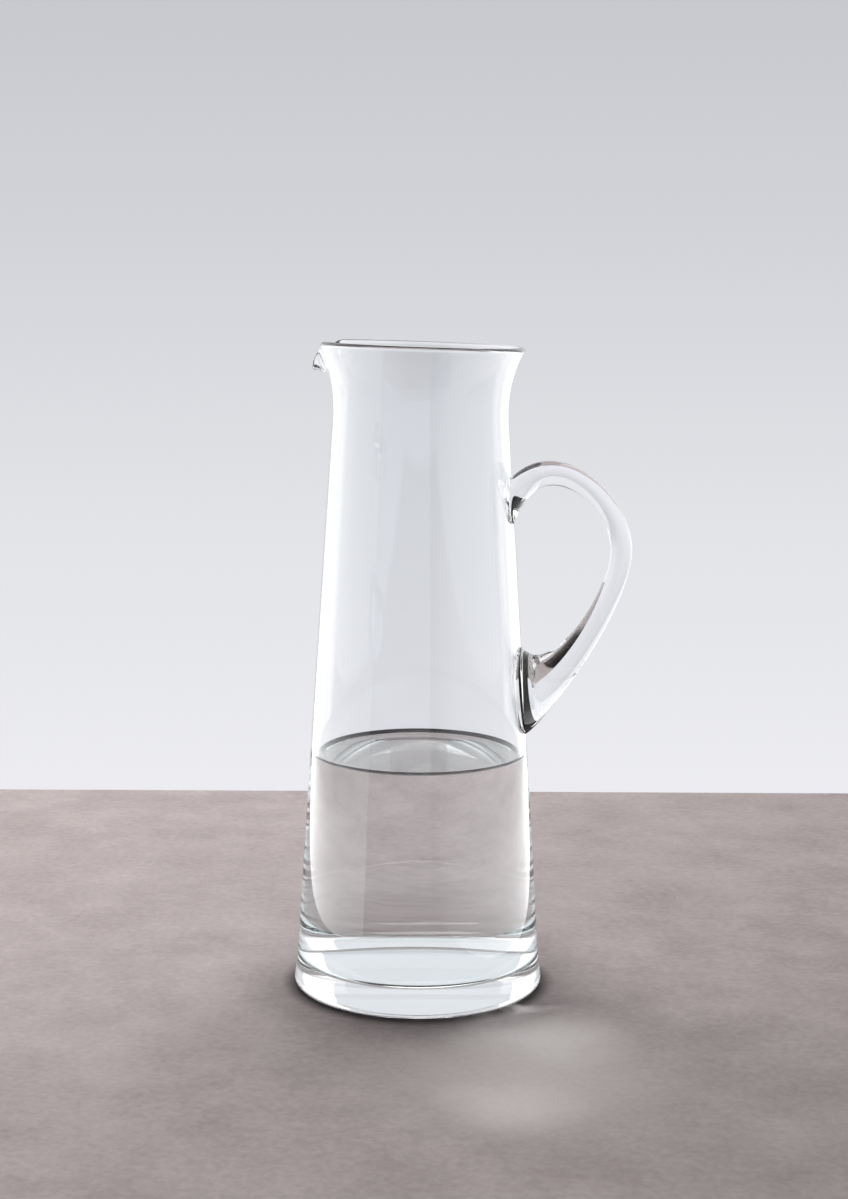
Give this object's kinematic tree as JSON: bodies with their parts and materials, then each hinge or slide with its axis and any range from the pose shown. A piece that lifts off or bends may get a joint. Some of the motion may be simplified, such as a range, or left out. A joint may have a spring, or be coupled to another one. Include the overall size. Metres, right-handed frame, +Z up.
{
  "type": "glass pitcher",
  "caption": "Tall tapered clear glass water jug with a heavy foot, a flared rim pulled into a drooping pouring lip, and a solid glass loop handle welded to its side.",
  "frame": {"origin": "on the jug's axis, in the plane that the ring of its foot stands on", "axes": "+Z up along the jug's axis, +X towards the handle, so the pouring lip points to -X"},
  "size_m": [0.1466, 0.1098, 0.282],
  "materials": {
    "clear_glass": "clear soda-lime glass, fire-polished, glossy"
  },
  "bodies": {
    "root": {"glass_body": "clear_glass", "handle": "clear_glass"}
  },
  "joints": []
}
